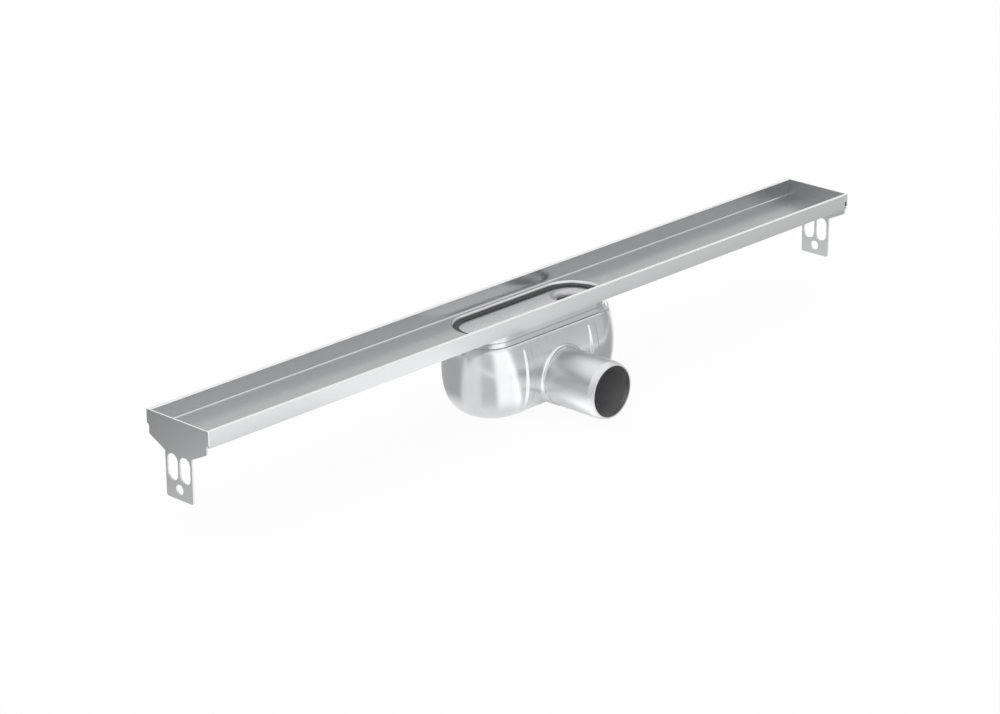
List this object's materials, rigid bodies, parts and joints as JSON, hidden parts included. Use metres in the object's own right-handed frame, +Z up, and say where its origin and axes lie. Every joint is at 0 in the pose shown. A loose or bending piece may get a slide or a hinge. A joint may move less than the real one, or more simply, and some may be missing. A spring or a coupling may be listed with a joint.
{
  "type": "channel drain",
  "caption": "Slim stainless steel channel drain: folded trough with anchor tabs, deep-drawn water trap under its middle, side outlet spigot and a lift-out sealed insert.",
  "frame": {"origin": "centre of the channel in the plane of its rim, which is set level with the floor", "axes": "+X along the channel towards the end that holds the insert's inlet, -Y the way the outlet leaves, +Z up out of the floor"},
  "size_m": [0.784, 0.1336, 0.0936],
  "materials": {
    "channel_steel": "fine brushed along the channel",
    "trap_steel": "satin, pickled after welding",
    "insert_steel": "satin",
    "seal_rubber": "matte moulded"
  },
  "bodies": {
    "root": {"channel_trough": "channel_steel", "end_plate_left": "channel_steel", "end_plate_right": "channel_steel", "trap_body": "trap_steel", "outlet_spigot": "trap_steel", "insert_plate": "insert_steel", "inlet_tube": "insert_steel", "seal_cup": "insert_steel", "cup_strap_front": "insert_steel", "cup_strap_back": "insert_steel", "seal_ring": "seal_rubber"}
  },
  "joints": []
}
